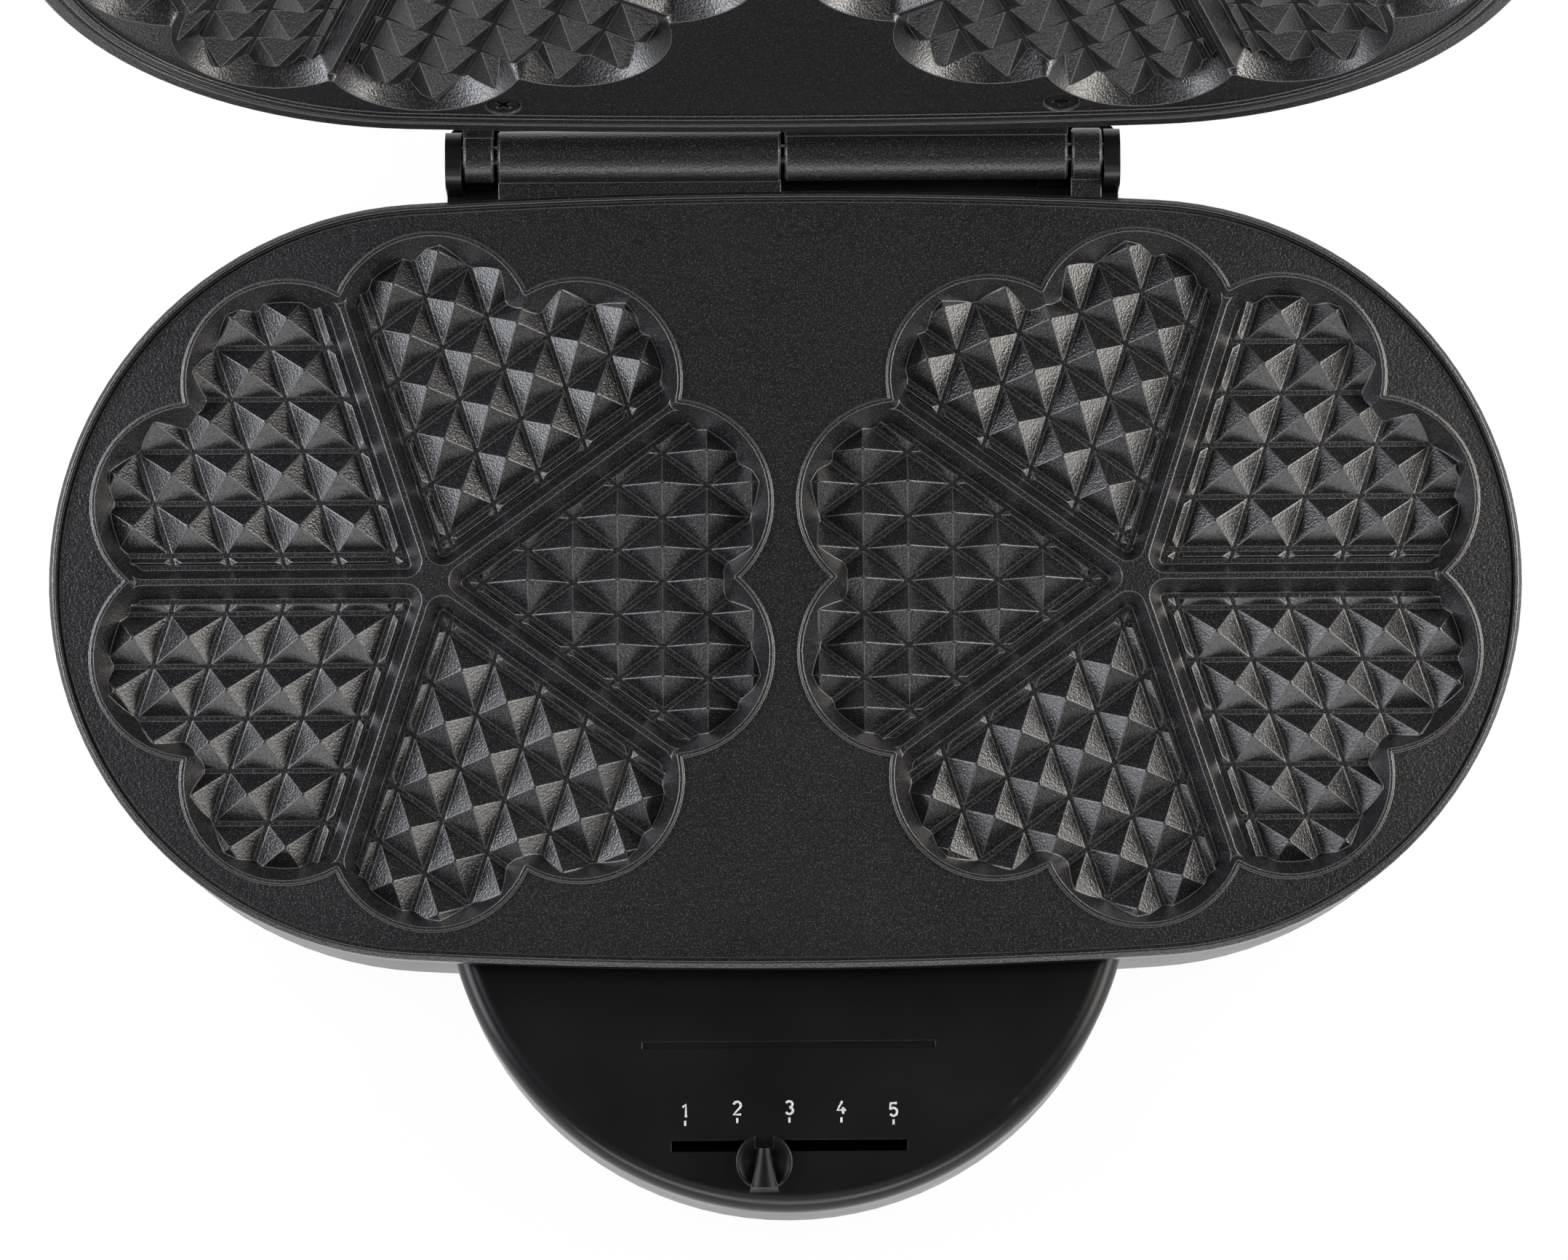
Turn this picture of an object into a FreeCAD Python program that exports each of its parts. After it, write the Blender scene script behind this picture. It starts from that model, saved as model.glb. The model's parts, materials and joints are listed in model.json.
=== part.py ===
import FreeCAD, Part
import os
from math import atan2, ceil, cos, degrees, pi, radians, sin, sqrt, tan

# Double heart-waffle maker with its lid open, in millimetres and degrees, +X right, +Y to the
# hinge, +Z up.  Every piece is drawn closed in the plate frame, whose origin is the middle of the
# lower plate on its flat field.  The lid is then turned open, and the whole is set on the table.

V = FreeCAD.Vector
UP = V(0, 0, 1)
ALONG_X = V(1, 0, 0)

# Waffle mould
hearts = 5
waffle_spacing = 164.5
lobe_ring_radius = 58.0
lobe_radius = 22.9
cleft_tip_radius = 1.0
pocket_depth = 6.0
pocket_draft_run = 3.6
crest_drop = 1.5
crest_half_width = 0.7
pocket_corner_radius = 1.5
hub_corner_radius = 1.2
row_pitch = 12.3
first_valley = 6.9
valley_width = 1.1
pyramid_height = 4.8
bar_width = 1.7
bar_height = 1.2

# Cast plates
rim_margin = 8.0
long_edge_bow = 2.4
plate_thickness = 3.5
pocket_floor_thickness = 3.0
mould_wall = 4.0
lip_width = 1.5
lip_height = 1.6
lip_edge = 0.9
groove_width = 0.9
groove_depth = 0.6
bead_width = 1.6
bead_height = 0.7
bead_draft = 0.4
cut_over = 0.3
cut_under = 0.5
plate_gap = 3.1
flange_width = 6.6
flange_rise = 1.0
flange_groove_inset = 3.6
flange_groove_width = 1.2
flange_groove_depth = 0.4
skirt_thickness = 2.4
skirt_depth = 5.0

# Hinge
hinge_back = 8.52
hinge_rise = 1.05
knuckle_radius = 6.0
knuckle_length = 66.2
knuckle_end_length = 7.1
knuckle_gap = 0.9
knuckle_edge = 0.5
pin_radius = 2.5
pin_fixed_clearance = 0.02
pin_running_clearance = 0.05
cheek_thickness = 3.8
cheek_gap = 0.5
cheek_height = 6.0
cheek_margin = 1.0
hinge_floor_drop = 2.5
hinge_floor_back = 9.8
hinge_wall = 2.4
hinge_corner_radius = 4.8
stop_height = 2.0
stop_width = 4.0
open_angle = 106.6

# Base housing
housing_inset = 1.5
housing_wall = 2.2
base_depth = 40.0
pan_thickness = 2.0
pan_rim_height = 4.0
pan_rim_thickness = 1.6
fit_gap = 0.3
foot_radius = 8.0
foot_height = 5.0
foot_recess = 1.0
foot_side = 112.0
foot_rear = 96.0
foot_front = 62.0
foot_rear_side = 64.0
vent_count = 7
vent_length = 44.0
vent_width = 2.6
vent_pitch = 8.0
vent_middle = 112.0

# Front control panel
apron_radius = 80.3
panel_front_margin = 15.2
panel_drop = 10.0
panel_thickness = 2.4
panel_edge_radius = 5.0
panel_screw_angle = 25.0
slot_length = 54.6
slot_width = 2.6
slot_corner_radius = 0.5
slot_distance = 131.4
ledge_length = 68.0
ledge_width = 1.5
ledge_depth = 0.5
ledge_distance = 108.0

# Browning slider
setting_count = 5
setting_pitch = 12.05
setting_at_rest = 2.515
knob_radius = 6.55
knob_ahead = 4.0
knob_height = 4.0
knob_edge = 0.3
knob_rim = 0.7
knob_bowl_depth = 2.4
knob_notch_width = 4.4
knob_notch_floor = 0.9
rib_height = 5.4
rib_rear = 3.4
rib_rear_width = 3.0
rib_waist = 1.3
rib_waist_width = 4.4
rib_front = 6.9
rib_front_width = 7.0
rib_front_slope = 1.0
rib_draft = 0.4
rib_groove_depth = 0.5
rib_groove_rear_radius = 1.3
rib_groove_front_radius = 7.5
stem_length = 4.4
tooth_module = 1.0
pinion_teeth = 20
pressure_angle = 20.0
root_factor = 1.25
backlash = 0.12
gear_thickness = 3.0
rack_back = 4.0
rack_overrun = 4.0
rack_distance = 111.0
tongue_width = 9.0
spindle_radius = 3.0

# Thermostat and wiring
thermostat_size = 30.0
thermostat_height = 17.0
thermostat_gap = 3.0
thermostat_hole_depth = 7.0
thermostat_lug_length = 9.0
thermostat_lug_thickness = 2.0
thermostat_screw_bite = 3.6
bulb_radius = 3.0
bulb_length = 18.0
capillary_radius = 1.0
capillary_hole_radius = 3.0
capillary_rise = 5.7
capillary_side = 14.0
bulb_gap = 2.0
capillary_bend = 6.0
fuse_radius = 2.2
fuse_length = 13.0
lead_radius = 1.3
lead_bend = 4.0
lead_rise = 4.0
terminal_width = 46.0
terminal_depth = 14.0
terminal_height = 12.0
terminal_distance = 33.0

# Heaters and shields
heater_radius = 3.25
heater_ring = 50.0
heater_bend = 8.0
heater_end = 16.0
heater_end_drop = 13.5
heater_pin_radius = 1.2
heater_pin_length = 6.0
clamp_length = 12.0
clamp_leg = 3.0
clamp_side_gap = 0.5
clamp_strap = 1.2
clamp_side = 45.0
shield_inset = 18.0
shield_thickness = 0.6
shield_hole_radius = 5.0

# Lid
lid_inset = 1.0
lid_wall = 0.9
lid_height = 30.0
lid_edge_radius = 12.0
lid_screw_side = 64.7
lid_screw_inset = 12.3
spacer_radius = 3.5
handle_radius = 57.0
handle_centre = 62.0
handle_rise = 4.0
handle_height = 13.0
handle_edge_radius = 4.0
handle_screw_side = 25.0
handle_screw_reach = 11.0

# Screws
screw_radius = 1.9
screw_slack = 0.3
screw_bite = 9.0
screw_head_radius = 3.6
screw_head_height = 2.4
screw_head_edge = 0.6
head_seat_gap = 0.1
csk_sink = 0.3
csk_slack = 0.25
cross_reach = 2.2
cross_tip = 1.0
cross_width = 1.1
cross_depth = 1.6
left_screw_turn = 45.0
boss_radius = 5.0
boss_inset = 21.3
boss_drop = 9.0
pan_boss_radius = 4.0
pan_boss_height = 14.0
pan_boss_inset = 6.0

# Cord inlet
gland_side = 40.0
gland_radius = 6.0
gland_bore_radius = 3.6
gland_flange_radius = 8.0
gland_flange_thickness = 2.0
gland_level = 26.0

# Values that follow from the sizes above
half_turn = pi / hearts
quarter_turn = half_turn / 2
draft = pocket_draft_run / pocket_depth
lobe_reach = lobe_ring_radius + lobe_radius
end_radius = lobe_reach + rim_margin
half_spacing = waffle_spacing / 2
half_depth = end_radius + long_edge_bow
lid_screw_distance = half_depth - lid_screw_inset
boss_side_distance = half_depth - boss_inset
bulb_distance = boss_side_distance - boss_radius - bulb_gap - bulb_radius
mould_bottom = -(pocket_depth + pocket_floor_thickness)
shield_top = mould_bottom - boss_drop
skirt_inset = housing_inset + housing_wall + fit_gap
hinge_distance = half_depth + hinge_back
apron_centre = slot_distance + panel_front_margin - apron_radius
panel_top = -panel_drop
panel_bottom = panel_top - panel_thickness
base_bottom = -base_depth
pan_bottom = base_bottom - pan_thickness
foot_bottom = pan_bottom - foot_height
lid_seat = plate_gap + plate_thickness
lid_top = lid_seat + lid_height
knuckle_inner = knuckle_gap / 2
knuckle_outer = knuckle_inner + knuckle_length
knuckle_end_inner = knuckle_outer + knuckle_gap
knuckle_end_outer = knuckle_end_inner + knuckle_end_length
cheek_inner = knuckle_end_outer + cheek_gap
cheek_outer = cheek_inner + cheek_thickness
hinge_floor = hinge_rise - knuckle_radius - hinge_floor_drop
hinge_rear = hinge_distance + hinge_floor_back
slider_rest = (setting_at_rest - (setting_count + 1) / 2) * setting_pitch
stem_width = slot_width - 2 * fit_gap
tooth_pitch = pi * tooth_module
tooth_root = root_factor * tooth_module
pitch_radius = tooth_module * pinion_teeth / 2
pinion_distance = rack_distance - pitch_radius
gear_top = panel_bottom - fit_gap
gear_bottom = gear_top - gear_thickness
thermostat_top = gear_bottom - thermostat_gap
thermostat_bottom = thermostat_top - thermostat_height
heater_level = mould_bottom - heater_radius


def box(x0, x1, y0, y1, z0, z1):
    return Part.makeBox(x1 - x0, y1 - y0, z1 - z0, V(x0, y0, z0))


def rod(radius, start, end):
    run = end - start
    return Part.makeCylinder(radius, run.Length, start, run)


def upright(radius, x, y, z0, z1):
    return Part.makeCylinder(radius, z1 - z0, V(x, y, z0), UP)


def arc(start, middle, end):
    return Part.Arc(start, middle, end).toShape()


def line(start, end):
    return Part.makeLine(start, end)


def polar(radius, angle, z=0.0):
    return V(radius * cos(angle), radius * sin(angle), z)


def prism(wire, height):
    return Part.Face(wire).extrude(V(0, 0, height))


def polygon_prism(points, direction):
    return Part.Face(Part.makePolygon(points + points[:1])).extrude(direction)


def fused(shapes):
    return shapes[0].multiFuse(shapes[1:]).removeSplitter()


def edges_at(shape, z):
    """Edges that lie wholly in the level z."""
    return [e for e in shape.Edges if abs(e.BoundBox.ZMin - z) < 1e-4 and abs(e.BoundBox.ZMax - z) < 1e-4]


def four_ways(x, y):
    return [V(sx * x, sy * y, 0) for sx in (-1, 1) for sy in (-1, 1)]


# Oval outline: two end arcs about the waffle centres and two slightly bowed long arcs
def oval_wire(inset, z):
    end = end_radius - inset
    deep = half_depth - inset
    long = (half_spacing ** 2 + deep ** 2 - end ** 2) / (2 * (deep - end))
    joint = atan2(long - deep, half_spacing)
    right = V(half_spacing, 0, z)
    left = V(-half_spacing, 0, z)
    right_low = right + polar(end, -joint)
    right_high = right + polar(end, joint)
    left_high = left + polar(end, pi - joint)
    left_low = left + polar(end, pi + joint)
    return Part.Wire([
        arc(right_low, right + V(end, 0, 0), right_high),
        arc(right_high, V(0, deep, z), left_high),
        arc(left_high, left - V(end, 0, 0), left_low),
        arc(left_low, V(0, -deep, z), right_low),
    ])


def oval_prism(inset, z0, z1):
    return prism(oval_wire(inset, z0), z1 - z0)


def oval_ring(inset, width, z0, z1):
    return oval_prism(inset, z0, z1).cut(oval_prism(inset + width, z0 - 1, z1 + 1))


# Outline of one waffle: lobes of equal circles, with rounded or sharp notches between them
def flower_wire(centre, sink, z, sharp=False):
    lobe = lobe_radius - sink
    tip = 0.0 if sharp else cleft_tip_radius + sink
    along = lobe_ring_radius * cos(quarter_turn)
    aside = lobe_ring_radius * sin(quarter_turn)
    tip_distance = along + sqrt((lobe + tip) ** 2 - aside ** 2)
    turn = atan2(aside, tip_distance - along)
    edges = []
    for k in range(2 * hearts):
        lobe_angle = (2 * k + 1) * quarter_turn
        notch = (k + 1) * half_turn
        lobe_centre = centre + polar(lobe_ring_radius, lobe_angle, z)
        next_centre = centre + polar(lobe_ring_radius, lobe_angle + half_turn, z)
        start = lobe_centre + polar(lobe, k * half_turn - turn)
        end = lobe_centre + polar(lobe, notch + turn)
        edges.append(arc(start, lobe_centre + polar(lobe, lobe_angle), end))
        if tip > 0:
            after = next_centre + polar(lobe, notch - turn)
            edges.append(arc(end, centre + polar(tip_distance - tip, notch, z), after))
    return Part.Wire(edges)


def flower_loft(centre, sink0, z0, sink1, z1, sharp=False):
    return Part.makeLoft(
        [flower_wire(centre, sink0, z0, sharp), flower_wire(centre, sink1, z1, sharp)], True, True)


# Outline of one heart pocket about +X, its wall leaning in by sink
def heart_wire(sink, z):
    lobe = lobe_radius - sink
    tip = cleft_tip_radius + sink
    edge = crest_half_width + sink - crest_drop * draft
    corner = pocket_corner_radius + pocket_draft_run - sink
    hub = hub_corner_radius + pocket_draft_run - sink
    along = lobe_ring_radius * cos(quarter_turn)
    aside = lobe_ring_radius * sin(quarter_turn)
    tip_distance = along + sqrt((lobe + tip) ** 2 - aside ** 2)
    corner_along = along + sqrt((lobe - corner) ** 2 - (aside - edge - corner) ** 2)
    hub_distance = (edge + hub) / sin(half_turn)

    def half(side):
        run = V(cos(half_turn), side * sin(half_turn), 0)
        inward = V(sin(half_turn), -side * cos(half_turn), 0)
        level = V(0, 0, z)
        lobe_centre = level + V(along, side * aside, 0)
        corner_centre = level + run * corner_along + inward * (edge + corner)
        out = (corner_centre - lobe_centre).normalize()
        tip_out = (V(tip_distance, 0, z) - lobe_centre).normalize()
        middle = (out + tip_out).normalize()
        return {
            "near": level + run * ((edge + hub) / tan(half_turn)) + inward * edge,
            "far": level + run * corner_along + inward * edge,
            "corner": corner_centre + (out - inward).normalize() * corner,
            "lobe_start": lobe_centre + out * lobe,
            "lobe_middle": lobe_centre + middle * lobe,
            "lobe_end": lobe_centre + tip_out * lobe,
        }

    left = half(1)
    right = half(-1)
    return Part.Wire([
        line(left["near"], left["far"]),
        arc(left["far"], left["corner"], left["lobe_start"]),
        arc(left["lobe_start"], left["lobe_middle"], left["lobe_end"]),
        arc(left["lobe_end"], V(tip_distance - tip, 0, z), right["lobe_end"]),
        arc(right["lobe_end"], right["lobe_middle"], right["lobe_start"]),
        arc(right["lobe_start"], right["corner"], right["far"]),
        line(right["far"], right["near"]),
        arc(right["near"], V(hub_distance - hub, 0, z), left["near"]),
    ])


# Ridges that run along one divider, a slim cut-off bar first and then whole rows
def ridges(side):
    floor = -pocket_depth
    slab = floor - pocket_floor_thickness
    slope = 2 * pyramid_height / (row_pitch - valley_width)
    bar_outer = first_valley - valley_width / 2
    reach = lobe_ring_radius * sin(3 * quarter_turn) + lobe_radius
    rows = ceil((reach - first_valley) / row_pitch)
    profile = [
        (0.0, slab),
        (0.0, floor),
        (bar_outer - bar_width, floor),
        (bar_outer - bar_height / slope, floor + bar_height),
        (bar_outer, floor),
    ]
    for row in range(rows):
        start = first_valley + valley_width / 2 + row * row_pitch
        end = start + row_pitch - valley_width
        profile += [(start, floor), ((start + end) / 2, floor + pyramid_height), (end, floor)]
    last = first_valley + rows * row_pitch
    profile += [(last, floor), (last, slab)]
    run = V(cos(half_turn), side * sin(half_turn), 0)
    inward = V(sin(half_turn), -side * cos(half_turn), 0)
    points = [inward * p + V(0, 0, z) for p, z in profile]
    return polygon_prism(points, run * (lobe_reach + rim_margin))


# What is cut out of a plate for its two waffles: a shallow flower each, and five hearts in it
def mould_cutters():
    over = bead_height + cut_over
    below = pocket_depth + cut_under
    heart = Part.makeLoft(
        [heart_wire(crest_drop * draft, -crest_drop), heart_wire(below * draft, -below)], True, True)
    heart = heart.cut(ridges(1).common(ridges(-1)))
    flowers = []
    pockets = []
    for side in (-1, 1):
        centre = V(side * half_spacing, 0, 0)
        flowers.append(flower_loft(centre, -over * draft, over, crest_drop * draft, -crest_drop))
        for k in range(hearts):
            pocket = heart.copy()
            pocket.rotate(V(0, 0, 0), UP, degrees(2 * k * half_turn) + (180 if side > 0 else 0))
            pocket.translate(centre)
            pockets.append(pocket)
    return flowers, pockets


def boss_places():
    return [V(half_spacing, 0, 0), V(-half_spacing, 0, 0),
            V(0, boss_side_distance, 0), V(0, -boss_side_distance, 0)]


# Back of a plate: skirt, the two mould bodies and the screw bosses
def plate_back(under):
    pieces = [oval_ring(skirt_inset, skirt_thickness, under - skirt_depth, under + plate_thickness / 2)]
    slope = (under - mould_bottom) * draft
    for side in (-1, 1):
        mould = Part.makeCone(lobe_reach + mould_wall - slope, lobe_reach + mould_wall,
                              under - mould_bottom, V(side * half_spacing, 0, mould_bottom), UP)
        pieces.append(mould)
    for place in boss_places():
        pieces.append(upright(boss_radius, place.x, place.y, shield_top, under + plate_thickness / 2))
    return pieces


def boss_pilots():
    return [upright(screw_radius, p.x, p.y, shield_top - 1, shield_top + screw_bite) for p in boss_places()]


# Knuckle with the web that joins it to its plate, for a hinge axis at height axis_z
def knuckle(x0, x1, axis_z, web_bottom, web_top):
    barrel = rod(knuckle_radius, V(x0, hinge_distance, axis_z), V(x1, hinge_distance, axis_z))
    ends = [e for e in barrel.Edges if e.BoundBox.XLength < 1e-6]
    barrel = barrel.makeChamfer(knuckle_edge, ends)
    web = box(x0, x1, half_depth - lip_width - groove_width, hinge_distance, web_bottom, web_top)
    return barrel.fuse(web)


def knuckle_bore(x0, x1, axis_z, clearance):
    return rod(pin_radius + clearance, V(x0 - 1, hinge_distance, axis_z), V(x1 + 1, hinge_distance, axis_z))


def lower_plate(flowers, pockets):
    blank = oval_prism(0, -plate_thickness, lip_height)
    blank = blank.makeChamfer(lip_edge, edges_at(blank, lip_height))
    blank = blank.cut(oval_prism(lip_width, 0, lip_height + 1))
    blank = blank.cut(oval_ring(lip_width, groove_width, -groove_depth, lip_height + 1))
    pieces = [blank] + plate_back(-plate_thickness)
    for side in (-1, 1):
        centre = V(side * half_spacing, 0, 0)
        pieces.append(flower_loft(centre, -bead_width, -groove_depth / 2,
                                  bead_draft - bead_width, bead_height, True))
    spans = [(-knuckle_outer, -knuckle_inner), (knuckle_end_inner, knuckle_end_outer)]
    webs = [knuckle(x0, x1, hinge_rise, -plate_thickness, 0) for x0, x1 in spans]
    webs = [web.cut(oval_prism(lip_width / 2, -plate_thickness - 1, lip_height + 1)) for web in webs]
    plate = pieces[0].multiFuse(pieces[1:] + webs)
    bores = [knuckle_bore(x0, x1, hinge_rise, pin_fixed_clearance) for x0, x1 in spans]
    return plate.cut(bores + boss_pilots()).cut(flowers).cut(pockets)


def screw_places():
    return four_ways(lid_screw_side, lid_screw_distance)


# Cross recess for a screwdriver, cut down from the level z at the middle
def cross_recess(z):
    near = -cross_width / 2
    side = [V(-cross_reach, near, z + 1), V(cross_reach, near, z + 1), V(cross_reach, near, z),
            V(cross_tip, near, z - cross_depth), V(-cross_tip, near, z - cross_depth), V(-cross_reach, near, z)]
    arm = polygon_prism(side, V(0, cross_width, 0))
    other = arm.copy()
    other.rotate(V(0, 0, 0), UP, 90)
    return fused([arm, other])


# Countersunk screw standing on its point, its head's face at height z
def countersunk(place, z, length):
    head = Part.makeCone(screw_radius, screw_head_radius, screw_head_radius - screw_radius,
                         place + V(0, 0, z - screw_head_radius + screw_radius), UP)
    shank = upright(screw_radius, place.x, place.y, z - length, z - screw_head_radius + screw_radius)
    recess = cross_recess(z)
    recess.rotate(V(0, 0, 0), UP, left_screw_turn if place.x < 0 else 0.0)
    recess.translate(place)
    return shank.fuse(head).cut(recess)


def countersink(place):
    top = screw_head_radius + csk_slack + csk_sink
    deep = top - screw_radius - screw_slack
    seat = Part.makeCone(top - deep, top, deep, place + V(0, 0, -deep), UP)
    return seat.fuse(upright(screw_radius + screw_slack, place.x, place.y, mould_bottom - 1, 0))


# The upper plate is drawn face up like the lower one, then turned over into its closed place
def upper_plate(flowers, pockets):
    blank = oval_prism(0, -plate_thickness, flange_rise)
    blank = blank.makeChamfer(lip_edge, edges_at(blank, flange_rise))
    blank = blank.cut(oval_prism(flange_width, 0, flange_rise + 1))
    blank = blank.cut(oval_ring(flange_groove_inset, flange_groove_width,
                                flange_rise - flange_groove_depth, flange_rise + 1))
    pieces = [blank] + plate_back(-plate_thickness)
    spans = [(knuckle_inner, knuckle_outer), (-knuckle_end_outer, -knuckle_end_inner)]
    axis_z = plate_gap - hinge_rise
    webs = [knuckle(x0, x1, axis_z, -plate_thickness, 0) for x0, x1 in spans]
    plate = pieces[0].multiFuse(pieces[1:] + webs)
    bores = [knuckle_bore(x0, x1, axis_z, pin_running_clearance) for x0, x1 in spans]
    plate = plate.cut(bores + boss_pilots() + [countersink(p) for p in screw_places()])
    return turned_over(plate.cut(flowers).cut(pockets)).multiFuse(stop_lugs())


def turned_over(shape):
    return shape.mirror(V(0, 0, plate_gap / 2), UP)


# The lid stops open when lugs on two of its knuckles meet ribs in the trough below them
def stop_spans():
    spans = [(-knuckle_end_outer, -knuckle_end_inner), (knuckle_outer - knuckle_end_length, knuckle_outer)]
    return [(x0 + knuckle_edge, x1 - knuckle_edge) for x0, x1 in spans]


def stop_lugs():
    lugs = []
    for x0, x1 in stop_spans():
        lug = box(x0, x1, hinge_distance - stop_width / 2, hinge_distance + stop_width / 2,
                  hinge_rise - knuckle_radius - stop_height, hinge_rise - (knuckle_radius + pin_radius) / 2)
        lug.rotate(V(0, hinge_distance, hinge_rise), ALONG_X, open_angle)
        lugs.append(lug)
    return lugs


def stop_ribs():
    rear = hinge_distance - stop_width / 2 - fit_gap
    top = hinge_rise - knuckle_radius - fit_gap
    return [box(x0, x1, rear - stop_width, rear, hinge_floor - hinge_wall, top) for x0, x1 in stop_spans()]


# Tubular heater: a racetrack under the plate with both ends bent away from it at the front
def heater_path(side):
    level = heater_level
    foot = V(side * heater_end, -heater_ring, level - heater_end_drop)
    bend_start = V(side * heater_end, -heater_ring, level - heater_bend)
    bend_middle = bend_start + V(side * heater_bend * (1 - cos(pi / 4)), 0, heater_bend * sin(pi / 4))
    bend_end = V(side * (heater_end + heater_bend), -heater_ring, level)
    run_end = V(side * half_spacing, -heater_ring, level)
    tip = V(side * (half_spacing + heater_ring), 0, level)
    back = V(side * half_spacing, heater_ring, level)
    return [line(foot, bend_start), arc(bend_start, bend_middle, bend_end),
            line(bend_end, run_end), arc(run_end, tip, back)]


def swept(path, radius):
    start = path.Edges[0].valueAt(path.Edges[0].FirstParameter)
    toward = path.Edges[0].tangentAt(path.Edges[0].FirstParameter)
    section = Part.Wire([Part.makeCircle(radius, start, toward)])
    return path.makePipeShell([section], True, False)


def heater():
    right = heater_path(1)
    left = heater_path(-1)
    joint = line(right[-1].Vertexes[-1].Point, left[-1].Vertexes[-1].Point)
    return swept(Part.Wire(Part.__sortEdges__(right + [joint] + left)), heater_radius)


def heater_pins():
    foot = heater_level - heater_end_drop
    return Part.Compound([
        upright(heater_pin_radius, side * heater_end, -heater_ring, foot - heater_pin_length, foot)
        for side in (-1, 1)])


# U-shaped straps that hold the heater up against the mould
def heater_clamps():
    channel = heater_radius + clamp_side_gap
    low = heater_level - heater_radius
    strap = box(-clamp_length / 2, clamp_length / 2, -channel - clamp_leg, channel + clamp_leg,
                low - clamp_strap, mould_bottom)
    strap = strap.cut(box(-clamp_length, clamp_length, -channel, channel, low, mould_bottom + 1))
    clamps = []
    for place in four_ways(clamp_side, heater_ring):
        clamp = strap.copy()
        clamp.translate(place)
        clamps.append(clamp)
    for side in (-1, 1):
        clamp = strap.copy()
        clamp.rotate(V(0, 0, 0), UP, 90)
        clamp.translate(V(side * (half_spacing + heater_ring), 0, 0))
        clamps.append(clamp)
    return Part.Compound(clamps)


def heat_shield():
    sheet = oval_prism(shield_inset, shield_top - shield_thickness, shield_top)
    low = shield_top - 1 - shield_thickness
    holes = [upright(screw_radius + screw_slack, p.x, p.y, low, shield_top + 1) for p in boss_places()]
    holes += [upright(shield_hole_radius, side * heater_end, -heater_ring, low, shield_top + 1)
              for side in (-1, 1)]
    return sheet, holes


def lower_heat_shield():
    sheet, holes = heat_shield()
    holes.append(upright(capillary_hole_radius, capillary_side, -bulb_distance,
                         shield_top - shield_thickness - 1, shield_top + 1))
    return sheet.cut(holes)


# Base housing: the wall round the oval, with a mouth at the front into the control panel's hollow
def apron_prism(radius, z0, z1):
    return upright(radius, 0, -apron_centre, z0, z1)


def base_housing():
    inner = housing_inset + housing_wall
    wall = oval_ring(housing_inset, housing_wall, base_bottom, -plate_thickness)
    mouth = apron_prism(apron_radius - panel_thickness, base_bottom - 1, panel_bottom)
    bosses = [upright(pan_boss_radius, p.x, p.y, base_bottom, base_bottom + pan_boss_height)
              for p in housing_screw_places()]
    housing = fused([wall.cut(mouth)] + bosses)
    return housing.cut(pan_pilots(housing_screw_places()) + [gland_hole(half_depth - inner - 1, half_depth + 1)])


def housing_screw_places():
    reach = (end_radius - pan_boss_inset) * cos(pi / 4)
    return four_ways(half_spacing + reach, reach)


def panel_screw_places():
    angle = radians(panel_screw_angle)
    reach = apron_radius - pan_boss_inset
    return [V(side * reach * cos(angle), -apron_centre - reach * sin(angle), 0) for side in (-1, 1)]


def pan_screw_places():
    return housing_screw_places() + panel_screw_places()


def pan_pilots(places):
    return [upright(screw_radius, p.x, p.y, base_bottom - 1, base_bottom + screw_bite) for p in places]


def gland_hole(y0, y1):
    return rod(gland_radius + screw_slack, V(gland_side, y0, -gland_level), V(gland_side, y1, -gland_level))


# Block behind the base as wide as the hinge, with its rear corners rounded
def hinge_block(z0, z1):
    block = box(-cheek_outer, cheek_outer, 0, hinge_rear, z0, z1)
    corners = [e for e in block.Edges if abs(e.BoundBox.YMin - hinge_rear) < 1e-6 and e.BoundBox.XLength < 1e-6]
    return block.makeFillet(hinge_corner_radius, corners)


# Hinge housing behind the base: a hollow trough under the knuckles between two cheeks
def hinge_housing():
    outer = hinge_block(base_bottom, hinge_floor)
    hollow = box(-cheek_outer + hinge_wall, cheek_outer - hinge_wall, 0, hinge_rear - hinge_wall,
                 base_bottom - 1, hinge_floor - hinge_wall)
    cheeks = []
    for x0 in (-cheek_outer, cheek_inner):
        cheek = box(x0, x0 + cheek_thickness, half_depth + cheek_margin, hinge_distance + knuckle_radius,
                    hinge_floor - hinge_wall, cheek_height)
        tops = [e for e in edges_at(cheek, cheek_height) if e.BoundBox.YLength < 1e-6]
        cheeks.append(cheek.makeFillet(cheek_height, tops))
    body = outer.cut(hollow).cut(oval_prism(housing_inset, base_bottom - 1, cheek_height))
    body = fused([body] + cheeks + stop_ribs())
    bore = rod(pin_radius + pin_fixed_clearance, V(-cheek_outer + hinge_wall / 2, hinge_distance, hinge_rise),
               V(cheek_outer - hinge_wall / 2, hinge_distance, hinge_rise))
    return body.cut([bore, gland_hole(half_depth, hinge_rear + 1)])


def hinge_pin():
    reach = cheek_outer - hinge_wall / 2 - fit_gap
    return rod(pin_radius, V(-reach, hinge_distance, hinge_rise), V(reach, hinge_distance, hinge_rise))


def cord_gland():
    inside = half_depth - housing_inset - housing_wall - gland_flange_thickness
    tube = rod(gland_radius, V(gland_side, inside, -gland_level), V(gland_side, hinge_rear, -gland_level))
    flange = rod(gland_flange_radius, V(gland_side, hinge_rear, -gland_level),
                 V(gland_side, hinge_rear + gland_flange_thickness, -gland_level))
    bore = rod(gland_bore_radius, V(gland_side, inside - 1, -gland_level),
               V(gland_side, hinge_rear + gland_flange_thickness + 1, -gland_level))
    return tube.fuse(flange).removeSplitter().cut(bore)


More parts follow.
